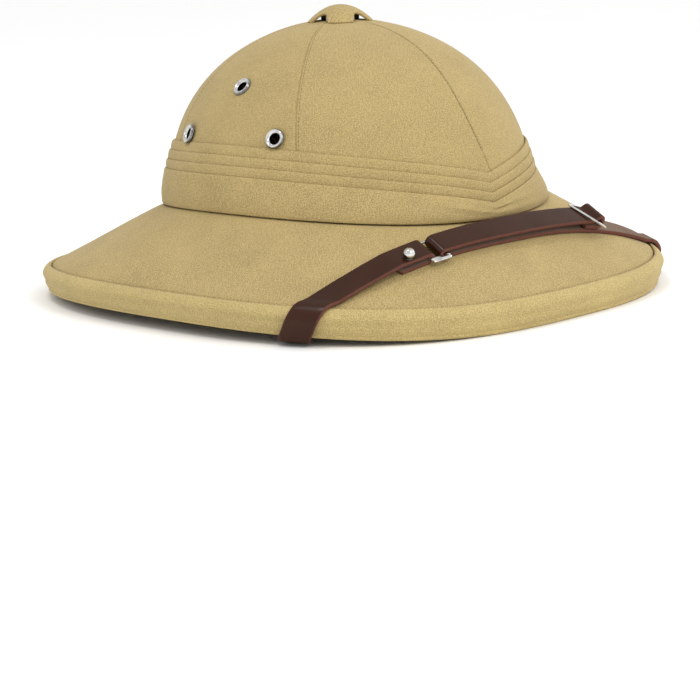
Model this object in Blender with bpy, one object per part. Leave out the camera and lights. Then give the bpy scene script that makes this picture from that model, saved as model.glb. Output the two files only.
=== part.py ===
"""Cloth-covered sun helmet with a pleated hat band, a ventilator cap and a leather chin strap.

Metres, +Z up. The helmet stands on its rim at Z = 0, its front faces -Y, and the wearer's right
is -X. Angles run round the hat from the front towards the wearer's right side.
"""

from math import cos, exp, pi, radians, sin

import bmesh
import bpy
from mathutils import Matrix, Vector

NAME = "pith_helmet"
GAP = 0.0003

RIM_HALF_WIDTH = 0.145
RIM_HALF_LENGTH = 0.1653
RIM_POWER = 2.665
RIM_TAPER = 0.061
RIM_SIDE_LIFT = 0.0064
RIM_LAND = 0.20
RIM_STEPS = 64
BINDING_HEIGHT = 0.0164

CROWN_HALF_WIDTH = 0.0958
CROWN_HALF_LENGTH = 0.1052
CROWN_CENTRE = -0.0081
CROWN_LEAN = 0.0047
CROWN_BASE = 0.0557
CROWN_TOP = 0.1508
CROWN_RISE_POWER = 2.165
CROWN_ROUND_POWER = 2.038
CROWN_WALL = 0.0030
CROWN_STEPS = 48

BRIM_DEPTH = 0.0036

BAND_HALF_WIDTH = 0.0988
BAND_HALF_LENGTH = 0.1106
BAND_POWER = 2.13
BAND_TAPER = 0.040
BAND_THICKNESS = 0.0018
BAND_HEIGHT = 0.0360
BAND_DIP = 0.0125
BAND_DIP_SPREAD = 0.50
PLEAT_PITCH = 0.0051
PLEAT_STEP = 0.0007

VENT_RADIUS = 0.0082
CAP_RADIUS = 0.0180
CAP_HEIGHT = 0.0090
CAP_POWER = 1.6
CAP_WALL = 0.0016
CAP_OPENING_WIDTH = 0.0126
CAP_OPENING_HEIGHT = 0.0046

EYELET_RADIUS = 0.0057
EYELET_HOLE = 0.0024
EYELET_PIPE = 0.0028
EYELET_SEAT = 0.0200
EYELET_PLACES = ((93.0, 0.669, 0.0004), (112.8, 0.398, 0.0012), (72.1, 0.407, 0.0012))

STRAP_WIDTH = 0.0130
STRAP_THICKNESS = 0.0022
STRAP_HEIGHT = GAP + STRAP_THICKNESS / 2
STRAP_REACH = 0.214
RIM_SKEW = 1.35
RIGHT_CROSSING = 56.0
RIGHT_POWER = 2.29
LEFT_CROSSING = 49.6
LEFT_POWER = 1.97

RING_ANGLE = 28.2
RING_BAR_RADIUS = 0.0010
RING_BAR_SPACING = 0.0105
RING_LENGTH = 0.0168
RING_END = 0.0014
FOLD_RADIUS = RING_BAR_RADIUS + GAP + STRAP_THICKNESS / 2
FOLD_HEIGHT = STRAP_HEIGHT + FOLD_RADIUS
FOLD_RETURN = 0.0200

SLIDER_ANGLE = -21.9
SLIDER_LENGTH = 0.0230
SLIDER_BAR_RADIUS = 0.0008
SLIDER_SPACING = 0.0056
ROLL_RADIUS = 0.0032
ROLL_HEIGHT = 2 * STRAP_HEIGHT + STRAP_THICKNESS / 2 + ROLL_RADIUS
UPPER_HEIGHT = STRAP_HEIGHT + 2 * FOLD_RADIUS
SLIDER_BAR_HEIGHT = 0.0096

STUD_ANGLE = 34.6
STUD_RADIUS = 0.0034
STUD_OFFSET = 0.0020

HOOK_WIRE = 0.0010
HOOK_BAR = (0.0940, -0.0330, 0.0395)
HOOK_TIP = (0.0868, -0.0215, 0.0535)
HOOK_HALF = 0.0110

parts = bpy.data.collections.new(NAME)
cutters = bpy.data.collections.new(NAME + "_cutters")


def material(name, colour, roughness, metallic=0.0):
    made = bpy.data.materials.new(name)
    made.use_nodes = True
    shader = made.node_tree.nodes["Principled BSDF"]
    shader.inputs["Base Color"].default_value = (*colour, 1.0)
    shader.inputs["Roughness"].default_value = roughness
    shader.inputs["Metallic"].default_value = metallic
    return made


def add(name, mesh, colour):
    """Put a finished mesh in the scene as one named part."""
    mesh.name = name
    mesh.materials.clear()
    mesh.materials.append(colour)
    mesh.shade_smooth()
    mesh.set_sharp_from_angle(angle=radians(35))
    made = bpy.data.objects.new(name, mesh)
    parts.objects.link(made)
    return made


def grid_mesh(name, rows, closed):
    """A skin over rows of points, each row a closed loop. Closed joins the last row to the first."""
    count = len(rows[0])
    form = bmesh.new()
    points = [[form.verts.new(point) for point in row] for row in rows]
    last = len(rows) if closed else len(rows) - 1
    for i in range(last):
        here, there = points[i], points[(i + 1) % len(rows)]
        for j in range(count):
            k = (j + 1) % count
            form.faces.new((here[j], here[k], there[k], there[j]))
    if not closed:
        form.faces.new(points[0])
        form.faces.new(points[-1])
    return outward_mesh(name, form)


def outward_mesh(name, form):
    """Turn every face outwards and make the mesh."""
    bmesh.ops.recalc_face_normals(form, faces=form.faces)
    if form.calc_volume(signed=True) < 0:
        bmesh.ops.reverse_faces(form, faces=form.faces)
    mesh = bpy.data.meshes.new(name)
    form.to_mesh(mesh)
    form.free()
    return mesh


# The lines that shape the hat ---------------------------------------------------------------

def squared(value, power):
    """A sine or cosine bent towards a rounded rectangle."""
    return (abs(value) ** (2 / power)) * (1 if value >= 0 else -1)


def rim_plan(angle):
    x = -RIM_HALF_WIDTH * squared(sin(angle), RIM_POWER) * (1 + RIM_TAPER * cos(angle))
    y = -RIM_HALF_LENGTH * squared(cos(angle), RIM_POWER)
    return Vector((x, y, 0))


def rim_outward(angle):
    """The horizontal direction square to the rim."""
    step = 0.004
    along = rim_plan(angle + step) - rim_plan(angle - step)
    return Vector((-along.y, along.x, 0)).normalized()


def rim_bottom(angle):
    """Height of the rim's lower edge: flat where the hat stands, raised over the ears."""
    rise = max(0.0, abs(sin(angle)) - RIM_LAND) / (1 - RIM_LAND)
    return RIM_SIDE_LIFT * rise ** 1.6


def seam(angle):
    """The line where the brim's cover meets the edge binding."""
    point = rim_plan(angle)
    point.z = 0.0181 + 0.0005 * cos(angle) - 0.0027 * cos(2 * angle)
    return point


def rim_point(angle, out, up):
    """A point beside the seam, with its depth scaled to the height of the binding there."""
    top = seam(angle)
    depth = (top.z - rim_bottom(angle)) / BINDING_HEIGHT
    return top + rim_outward(angle) * out + Vector((0, 0, up * depth))


def oval(angle, half_width, half_length, centre):
    return Vector((-half_width * sin(angle), -half_length * cos(angle) + centre, 0))


def junction(angle):
    """The hat band's lower edge, where the crown's foot meets the brim."""
    x = -BAND_HALF_WIDTH * squared(sin(angle), BAND_POWER) * (1 + BAND_TAPER * cos(angle))
    y = -BAND_HALF_LENGTH * squared(cos(angle), BAND_POWER) + CROWN_CENTRE
    z = 0.0517 + 0.0004 * cos(angle) - 0.0035 * cos(2 * angle)
    return Vector((x, y, z))


def band_top(angle):
    """Height of the hat band's upper edge, which dips to a point at the front."""
    turn = abs((angle + pi) % (2 * pi) - pi)
    return junction(angle).z + BAND_HEIGHT - BAND_DIP * exp(-turn / BAND_DIP_SPREAD)


def crown_point(angle, rise, inward=0.0):
    """A point on the crown, from rise 0 at its foot to 1 at its top."""
    level = max(rise, 0.0)
    reach = max(1 - level ** CROWN_RISE_POWER, 0.0) ** (1 / CROWN_ROUND_POWER)
    wide = (CROWN_HALF_WIDTH - inward) * reach
    long = (CROWN_HALF_LENGTH - inward) * reach
    point = oval(angle, wide, long, CROWN_CENTRE + CROWN_LEAN * level)
    point.z = CROWN_BASE + (CROWN_TOP - inward - CROWN_BASE) * rise
    return point


def rise_at_reach(reach):
    """How far up the crown its section has shrunk to a share of its foot's."""
    return (1 - reach ** CROWN_ROUND_POWER) ** (1 / CROWN_RISE_POWER)


def crown_at_height(angle, height, outward=0.0):
    rise = (height - CROWN_BASE) / (CROWN_TOP - CROWN_BASE)
    point = crown_point(angle, rise, -outward)
    point.z = height
    return point


def brim_point(angle, across):
    """A point on the brim's top, from across 0 at the band to 1 at the seam."""
    return junction(angle).lerp(seam(angle), across)


def brim_normal(angle, across):
    step = 0.01
    along = brim_point(angle + step, across) - brim_point(angle - step, across)
    down = seam(angle) - junction(angle)
    normal = along.cross(down).normalized()
    return normal if normal.z > 0 else -normal


def turns(count):
    return [2 * pi * i / count for i in range(count)]


# Crown, brim, binding and hat band -----------------------------------------------------------

def crown_profile(angle):
    foot = junction(angle).z - BRIM_DEPTH
    outer = (0.0, 0.14, 0.28, 0.42, 0.55, 0.67, 0.77, 0.86, 0.93, 0.97)
    inner = (0.96, 0.90, 0.80, 0.66, 0.50, 0.32, 0.14, 0.0)
    top = rise_at_reach(VENT_RADIUS / CROWN_HALF_WIDTH)
    points = [crown_at_height(angle, foot)]
    points += [crown_point(angle, rise) for rise in outer]
    points.append(crown_point(angle, top))
    under = crown_point(angle, top)
    under.z -= CROWN_WALL
    points.append(under)
    points += [crown_point(angle, rise, CROWN_WALL) for rise in inner]
    points.append(crown_at_height(angle, foot, -CROWN_WALL))
    return points


def crown_frame(degrees, rise):
    """Place and outward direction on the crown."""
    angle = radians(degrees)
    step = 0.01
    along = crown_point(angle + step, rise) - crown_point(angle - step, rise)
    upward = crown_point(angle, rise + step) - crown_point(angle, rise - step)
    normal = along.cross(upward).normalized()
    place = crown_point(angle, rise)
    if normal.dot(place - Vector((0, CROWN_CENTRE, CROWN_BASE))) < 0:
        normal = -normal
    return place, normal


def brim_profile(angle):
    edge = junction(angle)
    inner = crown_at_height(angle, edge.z, GAP)
    top = [inner] + [brim_point(angle, across) for across in (0.0, 0.5, 1.0)]
    drop = Vector((0, 0, -BRIM_DEPTH))
    return top + [point + drop for point in reversed(top)]


def binding_profile(angle):
    outline = (
        (0.0003, 0.0003), (0.0023, -0.0005), (0.0042, -0.0023), (0.0054, -0.0050),
        (0.0054, -0.0072), (0.0044, -0.0102), (0.0029, -0.0132), (0.0021, -0.0153),
        (0.0009, -0.0164), (-0.0021, -0.0164), (-0.0031, -0.0150), (-0.0031, -0.0052),
        (-0.0022, -0.0043), (0.0003, -0.0043),
    )
    return [rim_point(angle, out, up) for out, up in outline]


def band_profile(angle):
    """The hat band's section: a broad plain fold below three narrow ones, each behind the last."""
    edge = junction(angle)
    edge.z += GAP
    top = band_top(angle)
    points = [edge]
    for pleat in (3, 2, 1):
        height = top - pleat * PLEAT_PITCH
        proud = BAND_THICKNESS + pleat * PLEAT_STEP
        points.append(crown_at_height(angle, height, proud))
        points.append(crown_at_height(angle, height + 0.0004, proud - PLEAT_STEP))
    points.append(crown_at_height(angle, top, BAND_THICKNESS))
    for part in (1.0, 0.66, 0.33, 0.0):
        height = edge.z + (top - edge.z) * part
        points.append(crown_at_height(angle, height, GAP))
    return points


def eyelet_mesh():
    """A turned eyelet: a domed flange on the cloth and a short pipe through the wall."""
    outline = (
        (EYELET_HOLE, 0.0009), (0.0034, 0.0014), (0.0048, 0.0012), (EYELET_RADIUS, 0.0004),
        (EYELET_RADIUS, 0.0), (EYELET_PIPE, 0.0), (EYELET_PIPE, -0.0040), (EYELET_HOLE, -0.0040),
    )
    rows = [
        [(radius * cos(turn), radius * sin(turn), height) for radius, height in outline]
        for turn in turns(12)
    ]
    return grid_mesh("eyelet", rows, True)


def drill(target, place, direction, radius, depth):
    bpy.ops.mesh.primitive_cylinder_add(vertices=20, radius=radius, depth=depth)
    tool = bpy.context.object
    tool.name = "drill"
    tool.matrix_world = Matrix.Translation(place) @ direction.to_track_quat("Z", "Y").to_matrix().to_4x4()
    keep_as_cutter(tool)
    cut(target, tool)


def keep_as_cutter(tool):
    for home in list(tool.users_collection):
        home.objects.unlink(tool)
    cutters.objects.link(tool)
    tool.hide_render = True
    tool.display_type = "WIRE"


def cut(target, tool):
    boolean = target.modifiers.new("cut", "BOOLEAN")
    boolean.operation = "DIFFERENCE"
    boolean.solver = "EXACT"
    boolean.object = tool


def build_shell():
    cloth = material("khaki_cotton", (0.52, 0.40, 0.21), 0.85)
    crown_rows = [crown_profile(turn) for turn in turns(CROWN_STEPS)]
    crown = add("crown", grid_mesh("crown", crown_rows, True), cloth)
    brim_rows = [brim_profile(turn) for turn in turns(RIM_STEPS)]
    add("brim", grid_mesh("brim", brim_rows, True), cloth)
    binding_rows = [binding_profile(turn) for turn in turns(RIM_STEPS)]
    binding = material("khaki_binding", (0.58, 0.46, 0.26), 0.85)
    add("rim_binding", grid_mesh("rim_binding", binding_rows, True), binding)
    band = material("khaki_puggaree", (0.54, 0.42, 0.23), 0.85)
    band_rows = [band_profile(turn) for turn in turns(CROWN_STEPS)]
    puggaree = add("puggaree", grid_mesh("puggaree", band_rows, True), band)
    return crown, puggaree


def build_eyelets(crown, puggaree):
    """Three on each side. The lower two are pressed into the hat band's upper edge."""
    nickel = material("nickel", (0.72, 0.71, 0.68), 0.25, 1.0)
    mesh = eyelet_mesh()
    for side, sign in (("right", 1), ("left", -1)):
        for number, (degrees, rise, proud) in enumerate(EYELET_PLACES, 1):
            place, normal = crown_frame(sign * degrees, rise)
            drill(crown, place, normal, EYELET_PIPE + GAP, 0.012)
            if number > 1:
                drill(puggaree, place, normal, EYELET_PIPE + GAP, 0.012)
                seat = place + normal * (EYELET_SEAT / 2 + proud - GAP)
                drill(puggaree, seat, normal, EYELET_RADIUS + GAP, EYELET_SEAT)
            eyelet = add(f"eyelet_{side}_{number}", mesh.copy(), nickel)
            turn = normal.to_track_quat("Z", "Y").to_matrix().to_4x4()
            eyelet.matrix_world = Matrix.Translation(place + normal * proud) @ turn


# Ventilator cap ------------------------------------------------------------------------------

def turned(name, outline, steps):
    """A closed outline of radius and height, turned about the crown's top."""
    rows = [
        [(radius * cos(turn), radius * sin(turn), height) for radius, height in outline]
        for turn in turns(steps)
    ]
    return grid_mesh(name, rows, True)


def cap_rings(form, inset, levels, steps):
    """One skin of the cap's dome, from its foot to its tip. Returns the foot's ring."""
    rings = []
    for i in range(levels):
        share = 1 - i / levels
        radius = (CAP_RADIUS - inset) * share
        height = (CAP_HEIGHT - inset) * (1 - share ** CAP_POWER)
        rings.append([form.verts.new((radius * cos(t), radius * sin(t), height)) for t in turns(steps)])
    tip = form.verts.new((0, 0, CAP_HEIGHT - inset))
    for j in range(steps):
        k = (j + 1) % steps
        for low, high in zip(rings, rings[1:]):
            form.faces.new((low[j], low[k], high[k], high[j]))
        form.faces.new((rings[-1][j], rings[-1][k], tip))
    return rings[0]


def cap_mesh():
    """A low dome, domed inside too, open below."""
    form = bmesh.new()
    steps = 32
    outer = cap_rings(form, 0.0, 7, steps)
    inner = cap_rings(form, CAP_WALL, 7, steps)
    for j in range(steps):
        k = (j + 1) % steps
        form.faces.new((outer[j], outer[k], inner[k], inner[j]))
    return outward_mesh("vent_cap", form)


def arch_cutter(name, turn, base):
    """A tent-shaped bar laid through the cap, which cuts two opposite openings."""
    half = CAP_OPENING_WIDTH / 2
    outline = (
        (-half, -0.0020), (half, -0.0020), (half, 0.0), (0.7 * half, 0.6 * CAP_OPENING_HEIGHT),
        (0.3 * half, CAP_OPENING_HEIGHT), (-0.3 * half, CAP_OPENING_HEIGHT),
        (-0.7 * half, 0.6 * CAP_OPENING_HEIGHT), (-half, 0.0),
    )
    rows = [[(x, y, z) for x, z in outline] for y in (-0.030, 0.030)]
    tool = bpy.data.objects.new(name, grid_mesh(name, rows, False))
    tool.matrix_world = Matrix.Translation(base) @ Matrix.Rotation(turn, 4, "Z")
    keep_as_cutter(tool)
    return tool


def build_cap():
    cloth = material("khaki_cap", (0.55, 0.43, 0.24), 0.85)
    nickel = material("nickel_collar", (0.72, 0.71, 0.68), 0.3, 1.0)
    apex = crown_point(0.0, 1.0)
    foot = crown_point(pi / 2, rise_at_reach(CAP_RADIUS / CROWN_HALF_WIDTH))
    base = Vector((0, apex.y, foot.z + 2 * GAP))
    cap = add("vent_cap", cap_mesh(), cloth)
    cap.location = base
    for number in range(2):
        cut(cap, arch_cutter(f"arch_{number}", number * pi / 2, base))
    outline = (
        (0.0060, 0.0026), (0.0076, 0.0026), (0.0078, 0.0012), (0.0108, 0.0008),
        (0.0108, 0.0002), (0.0071, 0.0002), (0.0071, -0.0042), (0.0062, -0.0042),
    )
    collar = add("vent_collar", turned("vent_collar", outline, 24), nickel)
    collar.location = (0, apex.y, apex.z)


# Chin strap ----------------------------------------------------------------------------------

def strap_across(degrees):
    """How far down the brim the strap's middle lies at an angle round the hat."""
    crossing = RIGHT_CROSSING if degrees >= 0 else LEFT_CROSSING
    power = RIGHT_POWER if degrees >= 0 else LEFT_POWER
    return STRAP_REACH + (1 - STRAP_REACH) * (abs(degrees) / crossing) ** power


def strap_frame(degrees):
    """Middle of the strap's route on the brim, with its directions along, across and out."""
    step = 0.2
    route = [brim_point(radians(d), strap_across(d)) for d in (degrees - step, degrees + step)]
    along = (route[1] - route[0]).normalized()
    out = brim_normal(radians(degrees), strap_across(degrees))
    sideways = out.cross(along).normalized()
    along = sideways.cross(out).normalized()
    return brim_point(radians(degrees), strap_across(degrees)), along, sideways, out


def degrees_beside(degrees, distance):
    """The angle reached by going a distance along the strap's route."""
    here, there = strap_frame(degrees)[0], strap_frame(degrees + 1)[0]
    return degrees + distance / (there - here).length


def station(middle, sideways, out, face=1):
    """Four corners of the strap's section. The smooth side faces out, or in where face is -1."""
    half = sideways * STRAP_WIDTH / 2
    rise = out * face * STRAP_THICKNESS / 2
    return [middle - half - rise, middle + half - rise, middle + half + rise, middle - half + rise]


def brim_station(degrees, height, face):
    """A section on the brim, turned towards the seam's own direction where it nears the rim."""
    place, along, sideways, out = strap_frame(degrees)
    crossing = RIGHT_CROSSING if degrees > 0 else LEFT_CROSSING
    nearness = max(0.0, abs(degrees) / crossing - 0.6) / 0.4
    angle = radians(degrees)
    edge = (seam(angle + 0.01) - seam(angle - 0.01)).normalized()
    sideways = sideways + along * nearness * edge.dot(along) / edge.dot(sideways)
    return station(place + out * height, sideways, out, face)


def run(first, last, steps, height_first, height_last, face=1):
    """Sections on the brim from one angle to another, at heights above the brim."""
    sections = []
    for i in range(steps + 1):
        part = i / steps
        height = height_first + (height_last - height_first) * part * part * (3 - 2 * part)
        sections.append(brim_station(first + (last - first) * part, height, face))
    return sections


def fold(bar, along, sideways, out, radius, start, stop, face=1):
    """Sections bent half round a bar, between angles counted from out towards along."""
    sections = []
    for i in range(9):
        turn = radians(start + (stop - start) * i / 8)
        normal = out * cos(turn) + along * sin(turn)
        sections.append(station(bar + normal * radius, sideways, normal, face))
    return sections


def rim_run(side, face):
    """Sections round the edge of the rim and under it, parallel to the rim."""
    crossing = RIGHT_CROSSING if side > 0 else LEFT_CROSSING
    route = (
        (0.5, 0.0031, 0.0015, 0.36, 0.93), (1.1, 0.0055, -0.0009, 0.72, 0.69),
        (1.9, 0.0072, -0.0046, 0.98, 0.20), (2.5, 0.0073, -0.0076, 0.98, -0.17),
        (3.2, 0.0063, -0.0115, 0.94, -0.34), (4.0, 0.0050, -0.0153, 0.90, -0.44),
        (4.6, 0.0032, -0.0180, 0.45, -0.89), (5.2, 0.0000, -0.0186, 0.0, -1.0),
        (6.2, -0.0038, -0.0181, -0.45, -0.89), (7.4, -0.0080, -0.0150, -0.63, -0.78),
    )
    sections = []
    for turn, out, up, facing, rising in route:
        angle = side * radians(crossing + turn)
        middle = rim_point(angle, out, up)
        edge = rim_point(angle - side * 0.01, out, up) - rim_point(angle + side * 0.01, out, up)
        normal = (rim_outward(angle) * facing + Vector((0, 0, rising))).normalized()
        sections.append(station(middle, edge.normalized() * RIM_SKEW, normal, face))
    return sections


def hook_frame(side):
    """The hook's bar, and the strap's directions along, across and out where it folds there."""
    section = rim_run(side, 1)[-1]
    middle = sum(section, Vector()) / 4
    bar = Vector((-side * HOOK_BAR[0], HOOK_BAR[1], HOOK_BAR[2]))
    along = (bar - middle).normalized()
    below = Vector((side * 0.45, 0, -1))
    out = (below - along * below.dot(along)).normalized()
    sideways = out.cross(along)
    if sideways.dot(section[1] - section[0]) < 0:
        sideways = -sideways
    return bar, along, sideways, out


def hidden_run(side, face):
    """Under the brim from the rim to the hook, with the end folded round the hook's bar."""
    first = rim_run(side, 1)[-1]
    middle = sum(first, Vector()) / 4
    first_sideways = (first[1] - first[0]).normalized()
    first_out = (first[2] - first[1]).normalized()
    bar, along, sideways, out = hook_frame(side)
    radius = HOOK_WIRE + GAP + STRAP_THICKNESS / 2
    goal = bar + out * radius
    sections = []
    for part in (0.12, 0.3, 0.5, 0.7, 0.9):
        turn = ease(part / 0.9)
        across = first_sideways.lerp(sideways, turn).normalized()
        facing = first_out.lerp(out, turn).normalized()
        sections.append(station(middle.lerp(goal, part), across, facing, face))
    sections += fold(bar, along, sideways, out, radius, 0, 180, face)
    for back in (0.006, 0.012):
        sections.append(station(bar - out * radius - along * back, sideways, -out, face))
    return sections


def ease(value):
    return value * value * (3 - 2 * value)


def bar_frame(degrees, height):
    """A bar across the strap at a height above the brim: its middle and the strap's directions."""
    place, along, sideways, out = strap_frame(degrees)
    return place + out * height, along, sideways, out


def short_strap():
    """From the right-hand hook round the rim and up the brim, then folded round the ring."""
    bar_angle = degrees_beside(RING_ANGLE, RING_BAR_SPACING / 2)
    bar, along, sideways, out = bar_frame(bar_angle, FOLD_HEIGHT)
    end_angle = degrees_beside(bar_angle, FOLD_RETURN)
    sections = run(end_angle, bar_angle + 0.3, 4, STRAP_HEIGHT, STRAP_HEIGHT, -1)
    sections += fold(bar, -along, sideways, out, FOLD_RADIUS, 180, 0)
    sections += run(bar_angle + 0.6, end_angle + 0.6, 4, UPPER_HEIGHT, UPPER_HEIGHT)
    sections += run(end_angle + 1.6, end_angle + 7.0, 5, UPPER_HEIGHT, STRAP_HEIGHT)
    sections += run(end_angle + 8.0, RIGHT_CROSSING - 0.4, 5, STRAP_HEIGHT, STRAP_HEIGHT)
    return sections + rim_run(1, 1) + hidden_run(1, 1)


def long_strap():
    """From its rolled end on the slider to the ring, back under itself and round the left rim."""
    ring_angle = degrees_beside(RING_ANGLE, -RING_BAR_SPACING / 2)
    bar, along, sideways, out = bar_frame(ring_angle, FOLD_HEIGHT)
    roll_angle = degrees_beside(SLIDER_ANGLE, -SLIDER_SPACING)
    roll_bar, roll_along, roll_sideways, roll_out = bar_frame(roll_angle, ROLL_HEIGHT)
    tuck = ROLL_HEIGHT - ROLL_RADIUS
    crest = ROLL_HEIGHT + ROLL_RADIUS
    pressed = SLIDER_BAR_HEIGHT - SLIDER_BAR_RADIUS - 2 * GAP - STRAP_THICKNESS / 2
    sections = run(roll_angle + 4.2, roll_angle + 0.3, 3, tuck, tuck, -1)
    sections += fold(roll_bar, -roll_along, roll_sideways, roll_out, ROLL_RADIUS, 180, 0)
    sections += run(roll_angle + 0.3, SLIDER_ANGLE, 4, crest, pressed)
    sections += run(SLIDER_ANGLE + 1, SLIDER_ANGLE + 14, 5, pressed, UPPER_HEIGHT)
    sections += run(SLIDER_ANGLE + 16, ring_angle - 0.4, 12, UPPER_HEIGHT, UPPER_HEIGHT)
    sections += fold(bar, along, sideways, out, FOLD_RADIUS, 0, 180)
    sections += run(ring_angle - 0.4, -LEFT_CROSSING + 0.4, 24, STRAP_HEIGHT, STRAP_HEIGHT, -1)
    return sections + rim_run(-1, -1) + hidden_run(-1, -1)


def wire_loop(name, corners, bend, section):
    """A closed bent wire through corners, whose section is given as half width and half depth."""
    count = len(corners)
    normal = (corners[1] - corners[0]).cross(corners[2] - corners[1]).normalized()
    path = []
    for i, corner in enumerate(corners):
        before = (corners[i - 1] - corner).normalized() * bend
        after = (corners[(i + 1) % count] - corner).normalized() * bend
        for part in (0.0, 0.25, 0.5, 0.75, 1.0):
            point = corner + before * (1 - part) ** 2 + after * part ** 2
            straight = (corners[(i + 1) % count] - corner) * part - (corners[i - 1] - corner) * (1 - part)
            path.append((point, straight.normalized(), i + part))
    rows = []
    for point, along, place in path:
        side = normal.cross(along).normalized()
        wide, deep = section(place)
        rows.append([
            point + side * wide * cos(turn) + normal * deep * sin(turn) for turn in turns(8)
        ])
    return grid_mesh(name, rows, True)


def build_ring(nickel):
    """A flat ring whose two bars hold the folds, with broader ends beside the strap."""
    corners = []
    for offset, order in ((0.5, (1, -1)), (-0.5, (-1, 1))):
        angle = degrees_beside(RING_ANGLE, RING_BAR_SPACING * offset)
        bar, along, sideways, out = bar_frame(angle, FOLD_HEIGHT)
        corners += [bar + sideways * RING_LENGTH / 2 * sign for sign in order]

    def section(place):
        end = (place - 0.5) % 2 > 1.0
        return (RING_END, 0.0007) if end else (RING_BAR_RADIUS, RING_BAR_RADIUS)

    add("strap_ring", wire_loop("strap_ring", corners, 0.0016, section), nickel)


def build_slider(nickel):
    """A bent wire slider: one bar on the strap, the other inside its rolled end."""
    corners = []
    roll_angle = degrees_beside(SLIDER_ANGLE, -SLIDER_SPACING)
    for angle, height, order in (
        (SLIDER_ANGLE, SLIDER_BAR_HEIGHT, (1, -1)), (roll_angle, ROLL_HEIGHT, (-1, 1)),
    ):
        bar, along, sideways, out = bar_frame(angle, height)
        corners += [bar + sideways * SLIDER_LENGTH / 2 * sign for sign in order]
    radius = SLIDER_BAR_RADIUS
    mesh = wire_loop("strap_slider", corners, 0.0016, lambda place: (radius, radius))
    add("strap_slider", mesh, nickel)


def build_hooks(nickel):
    """Plain three-cornered hooks inside the hat, under its ears."""
    for name, side in (("strap_hook_right", 1), ("strap_hook_left", -1)):
        bar, along, sideways, out = hook_frame(side)
        tip = Vector((-side * HOOK_TIP[0], HOOK_TIP[1], HOOK_TIP[2]))
        corners = [bar - sideways * HOOK_HALF, bar + sideways * HOOK_HALF, tip]
        mesh = wire_loop(name, corners, 0.0022, lambda place: (HOOK_WIRE, HOOK_WIRE))
        add(name, mesh, nickel)


def build_stud(nickel):
    """A ball stud on the doubled end of the short strap."""
    outline = (
        (0.0012, 0.0), (0.0027, 0.0), (0.0027, 0.0005), (0.0016, 0.0007), (0.0017, 0.0012),
        (0.0027, 0.0018), (0.0033, 0.0030), (STUD_RADIUS, 0.0040), (0.0032, 0.0052),
        (0.0026, 0.0064), (0.0016, 0.0072), (0.0005, 0.0075),
    )
    rows = [
        [Vector((radius * cos(turn), radius * sin(turn), height)) for turn in turns(18)]
        for radius, height in outline
    ]
    place, along, sideways, out = bar_frame(STUD_ANGLE, UPPER_HEIGHT + STRAP_THICKNESS / 2 + GAP)
    stud = add("ball_stud", grid_mesh("ball_stud", rows, False), nickel)
    place += sideways * STUD_OFFSET
    stud.matrix_world = Matrix.Translation(place) @ out.to_track_quat("Z", "Y").to_matrix().to_4x4()


def build_strap():
    leather = material("brown_leather", (0.065, 0.028, 0.018), 0.4)
    nickel = material("nickel_fittings", (0.72, 0.71, 0.68), 0.25, 1.0)
    add("strap_short", grid_mesh("strap_short", short_strap(), False), leather)
    add("strap_long", grid_mesh("strap_long", long_strap(), False), leather)
    build_ring(nickel)
    build_slider(nickel)
    build_hooks(nickel)
    build_stud(nickel)


def main():
    for old in list(bpy.data.objects):
        bpy.data.objects.remove(old)
    bpy.context.scene.collection.children.link(parts)
    bpy.context.scene.collection.children.link(cutters)
    crown, puggaree = build_shell()
    build_eyelets(crown, puggaree)
    build_cap()
    build_strap()


main()
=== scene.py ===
"""Finished looks of a cloth-covered sun helmet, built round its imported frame.

Metres, +Z up. The hat's front faces -Y, and the wearer's right is -X. Angles run round the hat from
its front towards the wearer's right side.
"""

from math import cos, exp, hypot, pi, radians, sin

import bpy
from mathutils import Matrix, Vector, noise


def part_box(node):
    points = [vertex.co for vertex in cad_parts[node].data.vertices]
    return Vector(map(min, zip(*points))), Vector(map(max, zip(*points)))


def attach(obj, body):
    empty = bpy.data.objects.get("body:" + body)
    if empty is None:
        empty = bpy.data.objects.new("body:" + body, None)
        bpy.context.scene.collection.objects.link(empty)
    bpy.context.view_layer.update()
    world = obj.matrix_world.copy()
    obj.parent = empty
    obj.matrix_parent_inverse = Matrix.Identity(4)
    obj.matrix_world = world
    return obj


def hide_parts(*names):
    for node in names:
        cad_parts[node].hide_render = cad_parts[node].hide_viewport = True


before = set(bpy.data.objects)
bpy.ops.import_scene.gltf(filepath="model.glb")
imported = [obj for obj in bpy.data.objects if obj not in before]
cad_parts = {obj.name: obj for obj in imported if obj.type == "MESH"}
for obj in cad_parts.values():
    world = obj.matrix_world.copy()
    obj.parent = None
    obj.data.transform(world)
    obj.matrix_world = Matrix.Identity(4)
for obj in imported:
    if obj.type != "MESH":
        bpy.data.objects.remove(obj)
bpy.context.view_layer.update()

# Sizes of the shell, as in the frame ----------------------------------------------------------

GAP = 0.0003
CROWN_LOW, CROWN_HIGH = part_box("crown")
CROWN_HALF_WIDTH = CROWN_HIGH.x
CROWN_HALF_LENGTH = (CROWN_HIGH.y - CROWN_LOW.y) / 2
CROWN_CENTRE = (CROWN_HIGH.y + CROWN_LOW.y) / 2
CROWN_LEAN = 0.0035
CROWN_BASE = 0.0557
CROWN_TOP = 0.1508
CROWN_RISE_POWER = 2.165
CROWN_ROUND_POWER = 2.038
CROWN_WALL = 0.0030
VENT_RADIUS = 0.0082

BAND_LOW, BAND_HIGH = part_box("puggaree")
BAND_HALF_WIDTH = BAND_HIGH.x
BAND_HALF_LENGTH = (BAND_HIGH.y - BAND_LOW.y) / 2
BAND_POWER = 2.13
BAND_TAPER = 0.040
BAND_THICKNESS = 0.0018
BAND_HEIGHT = 0.0360
BAND_DIP = 0.0125
BAND_DIP_SPREAD = 0.50
BAND_POINT = radians(2.5)
PLEAT_PITCH = 0.0051
PLEAT_STEP = 0.0007

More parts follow.
